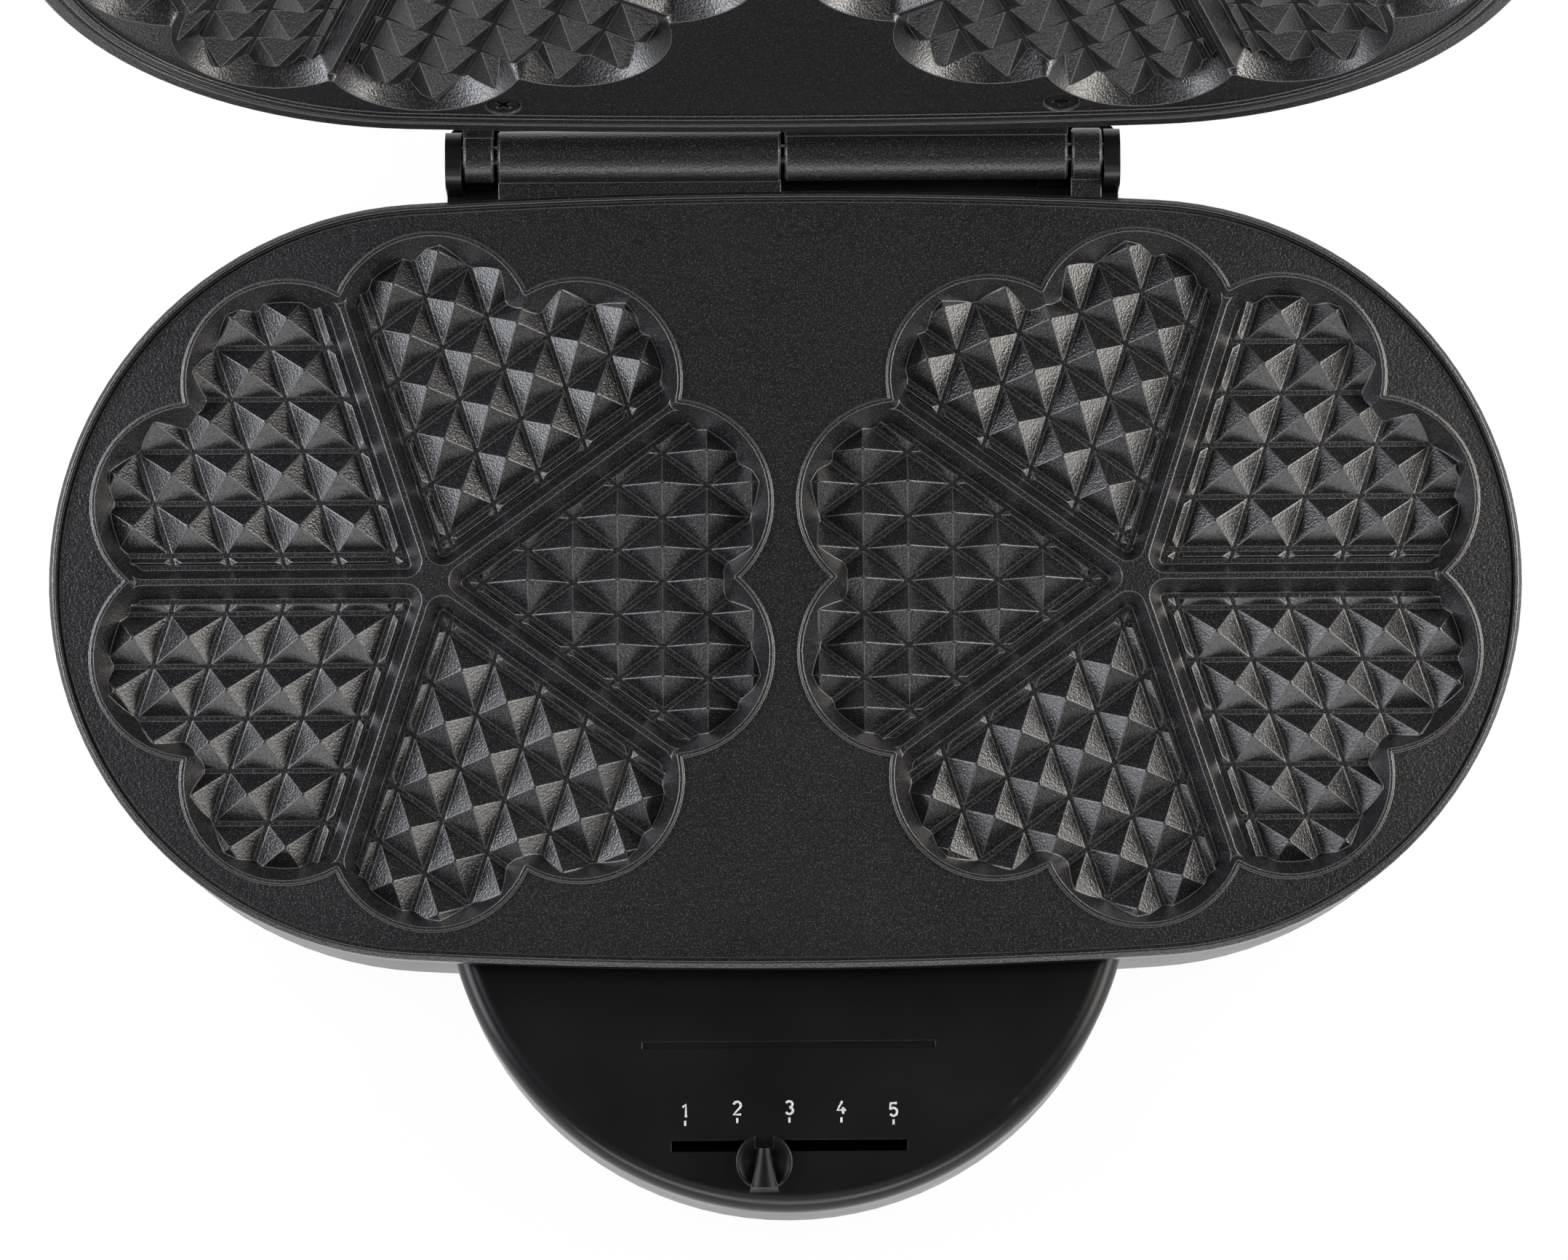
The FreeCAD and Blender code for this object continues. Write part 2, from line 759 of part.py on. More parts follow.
# Bottom pan with its locating rim, plate posts, thermostat posts and vents
def foot_places():
    return [V(side * foot_side, -foot_front, 0) for side in (-1, 1)] + \
           [V(side * foot_rear_side, foot_rear, 0) for side in (-1, 1)]


def base_pan():
    floor = fused([oval_prism(housing_inset, pan_bottom, base_bottom),
                   apron_prism(apron_radius, pan_bottom, base_bottom), hinge_block(pan_bottom, base_bottom)])
    rim_top = base_bottom + pan_rim_height
    rim_inset = housing_inset + housing_wall + fit_gap
    rim_radius = apron_radius - panel_thickness - fit_gap
    rim = oval_prism(rim_inset, base_bottom, rim_top).fuse(apron_prism(rim_radius, base_bottom, rim_top))
    rim = rim.cut(oval_prism(rim_inset + pan_rim_thickness, base_bottom - 1, rim_top + 1).fuse(
        apron_prism(rim_radius - pan_rim_thickness, base_bottom - 1, rim_top + 1)))
    around = pan_boss_radius + fit_gap
    rim = rim.cut([upright(around, p.x, p.y, base_bottom - 1, rim_top + 1) for p in pan_screw_places()])
    posts = [upright(boss_radius, p.x, p.y, base_bottom, shield_top - shield_thickness) for p in boss_places()]
    posts += [upright(boss_radius, p.x, p.y, base_bottom, thermostat_bottom) for p in thermostat_screw_places()]
    posts.append(box(-thermostat_size / 2, thermostat_size / 2, -pinion_distance - boss_radius,
                     -pinion_distance + boss_radius, base_bottom, thermostat_bottom))
    pan = floor.multiFuse([rim] + posts)
    cuts = []
    for p in boss_places():
        cuts.append(upright(screw_radius + screw_slack, p.x, p.y, pan_bottom - 1, shield_top))
        cuts.append(upright(screw_head_radius + screw_slack, p.x, p.y, pan_bottom - 1,
                            base_bottom + screw_head_height))
    for p in pan_screw_places():
        cuts.append(upright(screw_radius + screw_slack, p.x, p.y, pan_bottom - 1, base_bottom + 1))
    for p in thermostat_screw_places():
        cuts.append(upright(screw_radius, p.x, p.y, thermostat_bottom - thermostat_screw_bite, thermostat_top))
    for p in foot_places():
        cuts.append(upright(foot_radius + fit_gap / 2, p.x, p.y, pan_bottom - 1, pan_bottom + foot_recess))
    for side in (-1, 1):
        for k in range(vent_count):
            y = (k - (vent_count - 1) / 2) * vent_pitch
            x0 = side * vent_middle - vent_length / 2
            cuts.append(box(x0, x0 + vent_length, y - vent_width / 2, y + vent_width / 2,
                            pan_bottom - 1, base_bottom + 1))
    return pan.cut(cuts)


def feet():
    return Part.Compound([upright(foot_radius, p.x, p.y, foot_bottom, pan_bottom + foot_recess)
                          for p in foot_places()])


# Pan-head screw driven upward, the underside of its head at height seat
def pan_screw(place, seat, length):
    face = seat - screw_head_height
    head = upright(screw_head_radius, place.x, place.y, face, seat)
    head = head.makeChamfer(screw_head_edge, edges_at(head, face))
    recess = cross_recess(0.0).mirror(V(0, 0, 0), UP)
    recess.translate(place + V(0, 0, face))
    return head.fuse(upright(screw_radius, place.x, place.y, seat, seat + length)).removeSplitter().cut(recess)


def plate_screws():
    seat = base_bottom + screw_head_height
    length = shield_top + screw_bite - fit_gap - seat
    return Part.Compound([pan_screw(p, seat, length) for p in boss_places()])


def pan_screws():
    length = pan_thickness + screw_bite - fit_gap
    return Part.Compound([pan_screw(p, pan_bottom, length) for p in pan_screw_places()])


# Control panel: a rounded cover over the front of the base, with the slider's slot and a moulded line
def control_panel():
    cover = apron_prism(apron_radius, base_bottom, panel_top)
    cover = cover.makeFillet(panel_edge_radius, edges_at(cover, panel_top))
    hollow = apron_prism(apron_radius - panel_thickness, base_bottom - 1, panel_bottom)
    hollow = hollow.makeFillet(panel_edge_radius - panel_thickness, edges_at(hollow, panel_bottom))
    bosses = [upright(pan_boss_radius, p.x, p.y, base_bottom, panel_bottom + panel_thickness / 2)
              for p in panel_screw_places()]
    cover = fused([cover.cut(hollow)] + bosses)
    behind = oval_prism(housing_inset - fit_gap, base_bottom - 1, panel_top + 1)
    slot = box(-slot_length / 2, slot_length / 2, -slot_distance - slot_width / 2, -slot_distance + slot_width / 2,
               panel_bottom - 1, panel_top + 1)
    corners = [e for e in slot.Edges if e.BoundBox.ZLength > panel_thickness]
    slot = slot.makeFillet(slot_corner_radius, corners)
    ledge = box(-ledge_length / 2, ledge_length / 2, -ledge_distance - ledge_width / 2,
                -ledge_distance + ledge_width / 2, panel_top - ledge_depth, panel_top + 1)
    return cover.cut([behind, slot, ledge] + pan_pilots(panel_screw_places()))


# Flared outline of the knob's rib at one height, drawn in at the sides and sloped back at the front
def rib_wire(centre, height, inset, slope):
    rear = centre + V(0, rib_rear - inset, height)
    waist = centre + V(0, -rib_waist, height)
    front = centre + V(0, slope - rib_front, height)
    half_rear = V(rib_rear_width / 2 - inset, 0, 0)
    half_waist = V(rib_waist_width / 2 - inset, 0, 0)
    half_front = V(rib_front_width / 2 - inset, 0, 0)
    return Part.makePolygon([rear - half_rear, rear + half_rear, waist + half_waist, front + half_front,
                             front - half_front, waist - half_waist, rear - half_rear])


# Knob of the slider: a dished round with a flared rib across it, and a stem down through the slot
def slider_knob():
    centre = V(slider_rest, -slot_distance - knob_ahead, panel_top + fit_gap)
    top = centre.z + knob_height
    dish = upright(knob_radius, centre.x, centre.y, centre.z, top)
    dish = dish.makeChamfer(knob_edge, edges_at(dish, top))
    bowl_radius = knob_radius - knob_rim
    ball_radius = (bowl_radius ** 2 + knob_bowl_depth ** 2) / (2 * knob_bowl_depth)
    bowl = Part.makeSphere(ball_radius, V(centre.x, centre.y, top - knob_bowl_depth + ball_radius))
    notch = box(centre.x - knob_notch_width / 2, centre.x + knob_notch_width / 2, centre.y + rib_rear,
                centre.y + knob_radius + 1, centre.z + knob_notch_floor, top + 1)
    rib = Part.makeLoft([rib_wire(centre, knob_notch_floor, 0.0, 0.0),
                         rib_wire(centre, rib_height, rib_draft, rib_front_slope)], True, True)
    ends = [(rib_rear, rib_groove_rear_radius), (-rib_front, rib_groove_front_radius)]
    groove = Part.makeLoft([
        Part.Wire(Part.makeCircle(radius, centre + V(0, y, rib_height - rib_groove_depth + radius), V(0, 1, 0)))
        for y, radius in ends], True, True)
    stem = box(slider_rest - stem_length / 2, slider_rest + stem_length / 2, -slot_distance - stem_width / 2,
               -slot_distance + stem_width / 2, gear_top, centre.z + knob_notch_floor / 2)
    return fused([dish.cut([bowl, notch]), rib.cut(groove), stem])


# Carriage under the panel: a toothed rack with a tongue that carries the knob's stem
def slider_carriage():
    slope = tan(radians(pressure_angle))
    half_travel = (setting_count - 1) * setting_pitch / 2
    teeth = 2 * ceil((half_travel + rack_overrun) / tooth_pitch) + 1
    half_tooth = tooth_pitch / 4 - backlash / 2
    root = -rack_distance - tooth_root
    tip = -rack_distance + tooth_module
    middle = round(slider_rest / tooth_pitch) * tooth_pitch
    points = []
    for k in range(teeth):
        x = middle + (k - (teeth - 1) / 2) * tooth_pitch
        wide = half_tooth + tooth_root * slope
        narrow = half_tooth - tooth_module * slope
        points += [V(x - wide, root, gear_bottom), V(x - narrow, tip, gear_bottom),
                   V(x + narrow, tip, gear_bottom), V(x + wide, root, gear_bottom)]
    first = points[0] + V(rack_back, -rack_back, 0)
    last = points[-1] + V(-rack_back, -rack_back, 0)
    rack = polygon_prism(points + [last, first], V(0, 0, gear_thickness))
    aside = tongue_width / 2
    tongue = box(slider_rest - aside, slider_rest + aside, -slot_distance - aside, root - rack_back / 2,
                 gear_bottom, gear_top)
    return fused([rack, tongue])


# Involute pinion on the thermostat's spindle, a tooth space facing the rack
def thermostat_pinion():
    base_radius = pitch_radius * cos(radians(pressure_angle))
    tip_radius = pitch_radius + tooth_module
    root_radius = pitch_radius - tooth_root
    flank_start = max(base_radius, root_radius)
    half_at_pitch = (tooth_pitch / 2 - backlash) / (2 * pitch_radius)

    def involute(radius):
        roll = sqrt(max((radius / base_radius) ** 2 - 1, 0))
        return roll - atan2(roll, 1)

    def half_angle(radius):
        return half_at_pitch + involute(pitch_radius) - involute(radius)

    flank = [flank_start, pitch_radius, tip_radius]
    outline = []
    centre = V(0, -pinion_distance, gear_bottom)
    for k in range(pinion_teeth):
        middle = -pi / 2 + (k + 0.5) * 2 * pi / pinion_teeth
        outline.append(centre + polar(root_radius, middle - half_angle(flank_start)))
        outline += [centre + polar(r, middle - half_angle(r)) for r in flank]
        outline += [centre + polar(r, middle + half_angle(r)) for r in reversed(flank)]
        outline.append(centre + polar(root_radius, middle + half_angle(flank_start)))
    wheel = polygon_prism(outline, V(0, 0, gear_thickness))
    spindle = upright(spindle_radius, 0, -pinion_distance,
                      thermostat_top - thermostat_hole_depth + fit_gap, gear_bottom)
    return wheel.fuse(spindle).removeSplitter()


def thermostat_screw_places():
    reach = thermostat_size / 2 + thermostat_lug_length / 2
    return [V(side * reach, -pinion_distance, 0) for side in (-1, 1)]


def thermostat_body():
    half = thermostat_size / 2
    body = box(-half, half, -pinion_distance - half, -pinion_distance + half, thermostat_bottom, thermostat_top)
    body = body.makeChamfer(thermostat_lug_thickness, edges_at(body, thermostat_top))
    lugs = box(-half - thermostat_lug_length, half + thermostat_lug_length, -pinion_distance - boss_radius,
               -pinion_distance + boss_radius, thermostat_bottom, thermostat_bottom + thermostat_lug_thickness)
    hole = upright(spindle_radius + pin_running_clearance, 0, -pinion_distance,
                   thermostat_top - thermostat_hole_depth, thermostat_top + 1)
    return fused([body, lugs]).cut([hole] + [
        upright(screw_radius + screw_slack, p.x, p.y, thermostat_bottom - 1, thermostat_top)
        for p in thermostat_screw_places()])


def thermostat_screws():
    seat = thermostat_bottom + thermostat_lug_thickness
    length = thermostat_lug_thickness + thermostat_screw_bite - fit_gap
    screws = Part.Compound([pan_screw(p, seat, length) for p in thermostat_screw_places()])
    return screws.mirror(V(0, 0, seat), UP)


# Sensing bulb against the plate, and its capillary down through the shield to the thermostat
def thermostat_capillary():
    bulb_level = -plate_thickness - bulb_radius
    low = thermostat_bottom + capillary_rise
    body_back = -pinion_distance + thermostat_size / 2
    column = V(capillary_side, -bulb_distance, 0)
    bulb_start = V(capillary_side - capillary_bend, -bulb_distance, bulb_level)
    turn = capillary_bend * (1 - cos(pi / 4))
    reach = capillary_bend * sin(pi / 4)
    rise_start = column + V(0, 0, low + capillary_bend)
    rise_end = column + V(0, 0, bulb_level - capillary_bend)
    run_end = column + V(0, -capillary_bend, low)
    path = Part.Wire([
        line(V(capillary_side, body_back, low), run_end),
        arc(run_end, run_end + V(0, reach, turn), rise_start),
        line(rise_start, rise_end),
        arc(rise_end, rise_end + V(-turn, 0, reach), bulb_start),
    ])
    bulb = rod(bulb_radius, bulb_start, bulb_start - V(bulb_length, 0, 0))
    return swept(path, capillary_radius).fuse(bulb).removeSplitter()


def thermal_fuse():
    start = V(-fuse_length / 2, bulb_distance, -plate_thickness - fuse_radius)
    return rod(fuse_radius, start, start + V(fuse_length, 0, 0))


def terminal_block():
    half = terminal_width / 2
    block = box(-half, half, terminal_distance, terminal_distance + terminal_depth, base_bottom,
                base_bottom + terminal_height)
    screws = [upright(screw_radius, side * heater_end, terminal_distance + terminal_depth / 2,
                      base_bottom + terminal_height / 2, base_bottom + terminal_height + 1) for side in (-1, 1)]
    return block.cut(screws)


# Leads from the heater's pins along the pan to the terminal block
def base_leads():
    top = heater_level - heater_end_drop - heater_pin_length
    low = base_bottom + lead_rise
    start = -heater_ring
    leads = []
    for side in (-1, 1):
        x = side * heater_end
        turn = lead_bend * (1 - cos(pi / 4))
        reach = lead_bend * sin(pi / 4)
        path = Part.Wire([
            line(V(x, start, top), V(x, start, low + lead_bend)),
            arc(V(x, start, low + lead_bend), V(x, start + turn, low + lead_bend - reach),
                V(x, start + lead_bend, low)),
            line(V(x, start + lead_bend, low), V(x, terminal_distance, low)),
        ])
        leads.append(swept(path, lead_radius))
    return Part.Compound(leads)


# Lid: a drawn shell over the upper plate, spacers for the plate's screws, and a front handle
def lid_space(inset, top, edge):
    shell = oval_prism(inset, lid_seat, top)
    return shell.makeFillet(edge, edges_at(shell, top))


def lid_housing():
    shell = lid_space(lid_inset, lid_top, lid_edge_radius)
    shell = shell.cut(lid_space(lid_inset + lid_wall, lid_top - lid_wall, lid_edge_radius - lid_wall))
    return shell.cut([rod(screw_radius + screw_slack, p - V(0, lid_wall * 2, 0), p + V(0, lid_wall * 2, 0))
                      for p in handle_screw_seats()])


def lid_spacers():
    space = lid_space(lid_inset + lid_wall, lid_top - lid_wall, lid_edge_radius - lid_wall)
    low = plate_gap - mould_bottom
    spacers = []
    for place in screw_places():
        spacer = upright(spacer_radius, place.x, place.y, low, lid_top).common(space)
        spacers.append(spacer.cut(upright(screw_radius, place.x, place.y, low - 1, low + screw_bite + fit_gap)))
    return Part.Compound(spacers)


def upper_plate_screws():
    length = -mould_bottom - csk_sink + screw_bite
    return turned_over(Part.Compound([countersunk(p, -csk_sink, length) for p in screw_places()]))


def upper_shield_screws():
    seat = shield_top - shield_thickness
    length = shield_thickness + screw_bite - fit_gap
    return turned_over(Part.Compound([pan_screw(p, seat, length) for p in boss_places()]))


def upper_heat_shield():
    sheet, holes = heat_shield()
    return turned_over(sheet.cut(holes))


def handle_bottom():
    return lid_seat + handle_rise


def lid_handle():
    low = handle_bottom()
    top = low + handle_height
    handle = upright(handle_radius, 0, -handle_centre, low, top)
    handle = handle.makeFillet(handle_edge_radius, edges_at(handle, low) + edges_at(handle, top))
    handle = handle.cut(oval_prism(lid_inset, low - 1, top + 1))
    reach = V(0, handle_screw_reach + fit_gap, 0)
    return handle.cut([rod(screw_radius, seat, seat - reach) for seat in handle_screw_seats()])


def lid_wall_distance(x, inset):
    """Distance of the oval's front edge from the plate's middle line at x."""
    deep = half_depth - inset
    end = end_radius - inset
    long = (half_spacing ** 2 + deep ** 2 - end ** 2) / (2 * (deep - end))
    return deep - long + sqrt(long ** 2 - x ** 2)


def handle_screw_seats():
    level = handle_bottom() + handle_height / 2
    wall = lid_wall_distance(handle_screw_side, lid_inset)
    return [V(side * handle_screw_side, -wall, level) for side in (-1, 1)]


def handle_screws():
    inner = lid_wall_distance(handle_screw_side, lid_inset + lid_wall) - head_seat_gap
    screws = []
    for seat in handle_screw_seats():
        face = V(seat.x, -inner, seat.z)
        head = rod(screw_head_radius, face, face + V(0, screw_head_height, 0))
        screws.append(head.fuse(rod(screw_radius, face, seat - V(0, handle_screw_reach, 0))).removeSplitter())
    return Part.Compound(screws)


# The lid's pieces are drawn closed and turned open about the hinge
def opened(shape):
    turned = shape.copy()
    turned.rotate(V(0, hinge_distance, hinge_rise), ALONG_X, -open_angle)
    return turned


def build():
    flowers, pockets = mould_cutters()
    base = {
        "lower_plate": lower_plate(flowers, pockets),
        "lower_heater": heater(),
        "lower_heater_pins": heater_pins(),
        "lower_heater_clamps": heater_clamps(),
        "lower_heat_shield": lower_heat_shield(),
        "base_housing": base_housing(),
        "hinge_housing": hinge_housing(),
        "hinge_pin": hinge_pin(),
        "cord_gland": cord_gland(),
        "base_pan": base_pan(),
        "rubber_feet": feet(),
        "plate_screws": plate_screws(),
        "pan_screws": pan_screws(),
        "control_panel": control_panel(),
        "slider_knob": slider_knob(),
        "slider_carriage": slider_carriage(),
        "thermostat_pinion": thermostat_pinion(),
        "thermostat_body": thermostat_body(),
        "thermostat_screws": thermostat_screws(),
        "thermostat_capillary": thermostat_capillary(),
        "thermal_fuse": thermal_fuse(),
        "terminal_block": terminal_block(),
        "base_leads": base_leads(),
    }
    lid = {
        "upper_plate": upper_plate(flowers, pockets),
        "upper_heater": turned_over(heater()),
        "upper_heater_pins": turned_over(heater_pins()),
        "upper_heater_clamps": turned_over(heater_clamps()),
        "upper_heat_shield": upper_heat_shield(),
        "upper_shield_screws": upper_shield_screws(),
        "upper_plate_screws": upper_plate_screws(),
        "lid_spacers": lid_spacers(),
        "lid_housing": lid_housing(),
        "lid_handle": lid_handle(),
        "handle_screws": handle_screws(),
    }
    nodes = dict(base)
    nodes.update({name: opened(shape) for name, shape in lid.items()})
    return nodes


def main():
    nodes = build()
    whole = Part.Compound(list(nodes.values())).optimalBoundingBox(False, False)
    shift = V(-(whole.XMin + whole.XMax) / 2, -(whole.YMin + whole.YMax) / 2, -whole.ZMin)
    os.makedirs("parts", exist_ok=True)
    for name, shape in nodes.items():
        placed = shape.copy()
        placed.translate(shift)
        solids = placed.Solids
        result = solids[0] if len(solids) == 1 else Part.Compound(solids)
        result.exportStep(f"parts/{name}.step")
    print("frame shift", [round(value, 4) for value in shift])


if __name__ == "__main__":
    main()
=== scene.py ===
"""Looks of a double heart-waffle maker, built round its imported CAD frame, in metres."""

import json
import logging
from dataclasses import dataclass
from enum import Enum
from math import cos, radians, sin

import bpy
from mathutils import Euler, Matrix, Vector

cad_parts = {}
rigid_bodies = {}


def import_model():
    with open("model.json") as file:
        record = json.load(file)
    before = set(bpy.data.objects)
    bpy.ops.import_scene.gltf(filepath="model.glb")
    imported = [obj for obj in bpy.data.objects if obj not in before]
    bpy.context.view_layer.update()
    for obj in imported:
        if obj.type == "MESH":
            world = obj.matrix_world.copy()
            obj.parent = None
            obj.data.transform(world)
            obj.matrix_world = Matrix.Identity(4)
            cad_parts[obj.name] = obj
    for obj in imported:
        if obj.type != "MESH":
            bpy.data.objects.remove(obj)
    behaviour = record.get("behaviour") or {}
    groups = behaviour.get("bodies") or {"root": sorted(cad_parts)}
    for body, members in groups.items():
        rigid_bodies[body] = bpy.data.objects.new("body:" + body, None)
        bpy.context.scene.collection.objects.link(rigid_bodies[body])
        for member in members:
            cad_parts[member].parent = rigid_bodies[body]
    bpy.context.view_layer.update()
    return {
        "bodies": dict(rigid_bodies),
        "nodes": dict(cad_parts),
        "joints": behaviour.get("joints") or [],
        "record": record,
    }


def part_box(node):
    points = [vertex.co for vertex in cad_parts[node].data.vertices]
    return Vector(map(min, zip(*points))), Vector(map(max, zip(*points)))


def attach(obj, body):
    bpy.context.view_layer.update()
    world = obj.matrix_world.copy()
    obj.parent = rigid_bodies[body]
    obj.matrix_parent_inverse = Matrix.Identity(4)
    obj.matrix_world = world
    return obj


log = logging.getLogger("waffle_maker")
MM = 0.001

# A noise texture seldom leaves this range, which the patterns stretch to their full span
NOISE_LOW = 0.3
NOISE_HIGH = 0.7


class Slot(Enum):
    """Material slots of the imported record."""

    CASTING = "nonstick_casting"
    HEATER = "heater_sheath"
    PLATED = "plated_steel"
    BLACKENED = "blackened_steel"
    SHIELD = "aluminised_sheet"
    SHELL = "painted_shell"
    PLASTIC = "black_plastic"
    RUBBER = "black_rubber"
    NYLON = "white_nylon"
    RESIN = "switch_resin"
    COPPER = "copper_tube"
    SLEEVE = "lead_sleeving"


def linear(code: str) -> tuple:
    """Turn an sRGB hex code into a linear colour.

    Args:
        code: six hex digits.

    Returns:
        Red, green, blue and alpha, scene linear.
    """
    channels = [int(code[i:i + 2], 16) / 255 for i in (0, 2, 4)]
    decoded = [c / 12.92 if c <= 0.04045 else ((c + 0.055) / 1.055) ** 2.4 for c in channels]
    return (*decoded, 1.0)


def per_mm(size: float) -> float:
    """Scale of a pattern whose features are size millimetres across."""
    return 1.0 / (size * MM)


def add_node(tree: bpy.types.NodeTree, kind: str, settings: dict, inputs: dict) -> bpy.types.Node:
    """Add a shader node, set its properties and inputs, and link the inputs that are sockets.

    Args:
        tree: the material's node tree.
        kind: the node's type name.
        settings: property names and values.
        inputs: input names or numbers, with a constant or a socket for each.

    Returns:
        The new node.
    """
    node = tree.nodes.new(kind)
    for name, value in settings.items():
        setattr(node, name, value)
    for name, value in inputs.items():
        if isinstance(value, bpy.types.NodeSocket):
            tree.links.new(value, node.inputs[name])
        else:
            node.inputs[name].default_value = value
    return node


@dataclass(frozen=True)
class Finish:
    """What every finish has: a name, a start and a way to reach the shader."""

    name: str

    def start(self) -> tuple:
        """Make an empty material.

        Returns:
            The material, its node tree and texture coordinates in metres.
        """
        material = bpy.data.materials.new(self.name)
        material.use_nodes = True
        tree = material.node_tree
        place = add_node(tree, "ShaderNodeTexCoord", {}, {}).outputs["Object"]
        return material, tree, place

    def reach(self, tree: bpy.types.NodeTree, constants: dict, links: dict) -> None:
        """Set the shader's constants and link its patterns.

        Args:
            tree: the material's node tree.
            constants: input names and numbers.
            links: input names and sockets.
        """
        shader = tree.nodes["Principled BSDF"]
        for name, value in constants.items():
            shader.inputs[name].default_value = value
        for name, socket in links.items():
            tree.links.new(socket, shader.inputs[name])


# Non-stick coat sprayed on cast aluminium and baked: a neutral black that is satin all over, with an
# orange-peel grit that sparkles where a light grazes it and tiny mineral flecks. Its sharp edges are
# painted lighter, a painted highlight along the crests. The real grit and flecks are about 0.1 mm and
# are drawn three to six times as coarse, so that they still show.
@dataclass(frozen=True)
class CoatedCasting(Finish):
    """Sprayed non-stick coat on a casting."""

    colour: str = "121214"
    fleck: str = "686664"
    grit_mm: float = 0.55
    grit_detail: float = 3.0
    fleck_mm: float = 0.34
    fleck_from: float = 0.56
    fleck_soft: float = 0.2
    fleck_share: float = 0.22
    cloud_mm: float = 38.0
    roughness: tuple = (0.23, 0.28)
    bump: float = 1.0
    bump_mm: float = 0.14
    edge_mm: float = 0.45
    # pale grey of the painted highlight on sharp edges
    edge: str = "8c8a88"
    edge_highlight_share: float = 0.5
    edge_highlight_turn: float = 0.85
    ior: float = 1.6

    def build(self) -> bpy.types.Material:
        """Make the material.

        Returns:
            The material.
        """
        material, tree, place = self.start()
        grit = add_node(tree, "ShaderNodeTexNoise", {}, {
            "Vector": place, "Scale": per_mm(self.grit_mm), "Detail": self.grit_detail}).outputs[0]
        specks = add_node(tree, "ShaderNodeTexNoise", {}, {
            "Vector": place, "Scale": per_mm(self.fleck_mm), "Detail": 0.0}).outputs[0]
        cloud = add_node(tree, "ShaderNodeTexNoise", {}, {
            "Vector": place, "Scale": per_mm(self.cloud_mm)}).outputs[0]
        share = add_node(tree, "ShaderNodeMapRange", {}, {
            "Value": specks, "From Min": self.fleck_from, "From Max": self.fleck_from + self.fleck_soft,
            "To Max": self.fleck_share}).outputs[0]
        flecked = add_node(tree, "ShaderNodeMix", {"data_type": "RGBA"}, {
            0: share, 6: linear(self.colour), 7: linear(self.fleck)}).outputs[2]
        rough = add_node(tree, "ShaderNodeMapRange", {}, {
            "Value": cloud, "From Min": NOISE_LOW, "From Max": NOISE_HIGH,
            "To Min": self.roughness[0], "To Max": self.roughness[1]}).outputs[0]
        edge = add_node(tree, "ShaderNodeBevel", {"samples": 6}, {"Radius": self.edge_mm * MM}).outputs[0]
        flat = add_node(tree, "ShaderNodeNewGeometry", {}, {}).outputs["True Normal"]
        along = add_node(tree, "ShaderNodeVectorMath", {"operation": "DOT_PRODUCT"}, {
            0: edge, 1: flat}).outputs["Value"]
        # painted highlight: the colour turns towards the pale grey where the bevelled normal leaves the
        # face's own
        painted_highlight_mask = add_node(tree, "ShaderNodeMapRange", {}, {
            "Value": along, "From Min": 1.0, "From Max": self.edge_highlight_turn,
            "To Max": self.edge_highlight_share}).outputs[0]
        colour = add_node(tree, "ShaderNodeMix", {"data_type": "RGBA"}, {
            0: painted_highlight_mask, 6: flecked, 7: linear(self.edge)}).outputs[2]
        relief = add_node(tree, "ShaderNodeBump", {}, {
            "Strength": self.bump, "Distance": self.bump_mm * MM, "Height": grit, "Normal": edge}).outputs[0]
        self.reach(tree, {"IOR": self.ior}, {"Base Color": colour, "Roughness": rough, "Normal": relief})
        return material


# Plastic, rubber, paint or resin that took its surface from a mould or a spray gun: one body colour
# that wanders a little, a fine grain that softens the highlights, and edges that are never sharp.
# The real grain is about 0.1 mm and is drawn coarser, so that it still shows.
@dataclass(frozen=True)
class Moulded(Finish):
    """Moulded or sprayed surface of one body colour."""

    colour: str = "0a0a0b"
    shade: str = "0e0e10"
    grain_mm: float = 0.25
    patch_mm: float = 25.0
    roughness: tuple = (0.26, 0.32)
    bump: float = 0.25
    bump_mm: float = 0.04
    edge_mm: float = 0.3
    ior: float = 1.45

    def build(self) -> bpy.types.Material:
        """Make the material.

        Returns:
            The material.
        """
        material, tree, place = self.start()
        grain = add_node(tree, "ShaderNodeTexNoise", {}, {
            "Vector": place, "Scale": per_mm(self.grain_mm), "Detail": 1.0}).outputs[0]
        patch = add_node(tree, "ShaderNodeTexNoise", {}, {
            "Vector": place, "Scale": per_mm(self.patch_mm)}).outputs[0]
        colour = add_node(tree, "ShaderNodeMix", {"data_type": "RGBA"}, {
            0: patch, 6: linear(self.colour), 7: linear(self.shade)}).outputs[2]
        rough = add_node(tree, "ShaderNodeMapRange", {}, {
            "Value": patch, "From Min": NOISE_LOW, "From Max": NOISE_HIGH,
            "To Min": self.roughness[0], "To Max": self.roughness[1]}).outputs[0]
        edge = add_node(tree, "ShaderNodeBevel", {"samples": 4}, {"Radius": self.edge_mm * MM}).outputs[0]
        relief = add_node(tree, "ShaderNodeBump", {}, {
            "Strength": self.bump, "Distance": self.bump_mm * MM, "Height": grain, "Normal": edge}).outputs[0]
        self.reach(tree, {"IOR": self.ior}, {"Base Color": colour, "Roughness": rough, "Normal": relief})
        return material


